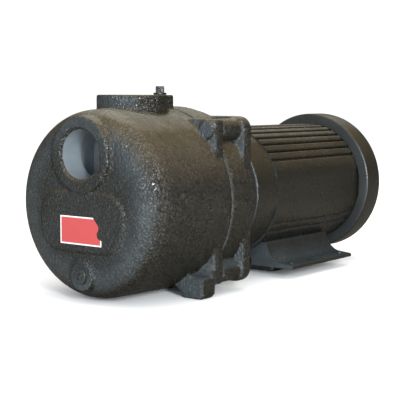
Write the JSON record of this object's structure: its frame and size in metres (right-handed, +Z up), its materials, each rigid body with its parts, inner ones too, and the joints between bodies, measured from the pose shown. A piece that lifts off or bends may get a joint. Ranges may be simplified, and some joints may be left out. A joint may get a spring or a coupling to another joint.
{
  "type": "shallow well jet pump",
  "caption": "Close-coupled jet pump: round cast casing with front suction and top discharge ports on a square-plate bracket, with a finned, foot-mounted motor and a fan cover.",
  "frame": {"origin": "on the floor below the shaft axis, at the middle of the motor's foot, which is the middle of the underside of the block under that foot", "axes": "+X along the shaft from the suction port towards the fan cover, +Y towards the terminal box, +Z up through the discharge port"},
  "size_m": [0.3832, 0.1814, 0.1772],
  "materials": {
    "casing_black": "gloss black enamel over rough sand-cast iron",
    "motor_black": "gloss black enamel over cast and extruded aluminium",
    "cover_black": "semi-gloss black enamel on pressed steel",
    "label_red": "printed vinyl sticker with a white border, left blank",
    "zinc_steel": "zinc plated",
    "stainless": "turned and ground",
    "spring_steel": "blued spring steel",
    "moulded_grey": "glass-filled moulding",
    "nozzle_brass": "turned",
    "black_rubber": "moulded nitrile",
    "gasket_fibre": "compressed fibre sheet",
    "carbon_ring": "lapped carbon",
    "ceramic_ring": "lapped ceramic",
    "bearing_steel": "ground and polished",
    "cage_plastic": "moulded nylon",
    "core_steel": "stacked laminations",
    "cast_aluminium": "die cast",
    "winding_copper": "varnished copper wire",
    "black_plastic": "moulded nylon",
    "capacitor_can": "drawn can"
  },
  "bodies": {
    "pump_body": {"bolt_washers": "zinc_steel", "bracket_screws": "zinc_steel", "cable_gland": "black_plastic", "casing_bolts": "zinc_steel", "casing_gasket": "gasket_fibre", "diffuser": "moulded_grey", "drain_plug": "casing_black", "fan_cover": "cover_black", "fan_cover_screws": "zinc_steel", "front_bearing_outer_race": "bearing_steel", "front_end_shield": "motor_black", "gauge_plug": "casing_black", "gland_nut": "black_plastic", "jet_nozzle": "nozzle_brass", "motor_bracket": "casing_black", "motor_frame": "motor_black", "name_label": "label_red", "pump_casing": "casing_black", "rear_bearing_outer_race": "bearing_steel", "rear_end_shield": "motor_black", "run_capacitor": "capacitor_can", "seal_cup": "black_rubber", "seal_seat": "ceramic_ring", "stator_core": "core_steel", "stator_winding": "winding_copper", "support_pad": "motor_black", "terminal_block": "black_plastic", "terminal_box": "cover_black", "terminal_cover": "cover_black", "terminal_cover_screws": "zinc_steel", "terminal_gasket": "black_rubber", "tie_rods": "zinc_steel", "venturi_oring": "black_rubber", "venturi_tube": "moulded_grey", "wave_washer": "spring_steel"},
    "rotor": {"motor_shaft": "stainless", "impeller": "moulded_grey", "impeller_key": "stainless", "impeller_washer": "stainless", "impeller_nut": "stainless", "seal_face_ring": "carbon_ring", "seal_bellows": "black_rubber", "seal_spring": "stainless", "water_slinger": "black_rubber", "rotor_core": "core_steel", "rotor_end_rings": "cast_aluminium", "front_bearing_inner_race": "bearing_steel", "rear_bearing_inner_race": "bearing_steel", "cooling_fan": "black_plastic", "fan_clip": "spring_steel"},
    "front_cage": {"front_bearing_balls": "bearing_steel", "front_bearing_cage": "cage_plastic"},
    "rear_cage": {"rear_bearing_balls": "bearing_steel", "rear_bearing_cage": "cage_plastic"}
  },
  "joints": [
    {"name": "rotor_spin", "type": "hinge", "parent": "pump_body", "child": "rotor", "pos_m": [0, 0, 0.08], "axis": [1, 0, 0], "continuous": true},
    {"name": "front_cage_spin", "type": "hinge", "parent": "pump_body", "child": "front_cage", "pos_m": [0, 0, 0.08], "axis": [1, 0, 0], "continuous": true},
    {"name": "rear_cage_spin", "type": "hinge", "parent": "pump_body", "child": "rear_cage", "pos_m": [0, 0, 0.08], "axis": [1, 0, 0], "continuous": true}
  ],
  "couplings": [
    {"joint": "front_cage_spin", "follows": "rotor_spin", "ratio": 0.38158},
    {"joint": "rear_cage_spin", "follows": "rotor_spin", "ratio": 0.38}
  ]
}
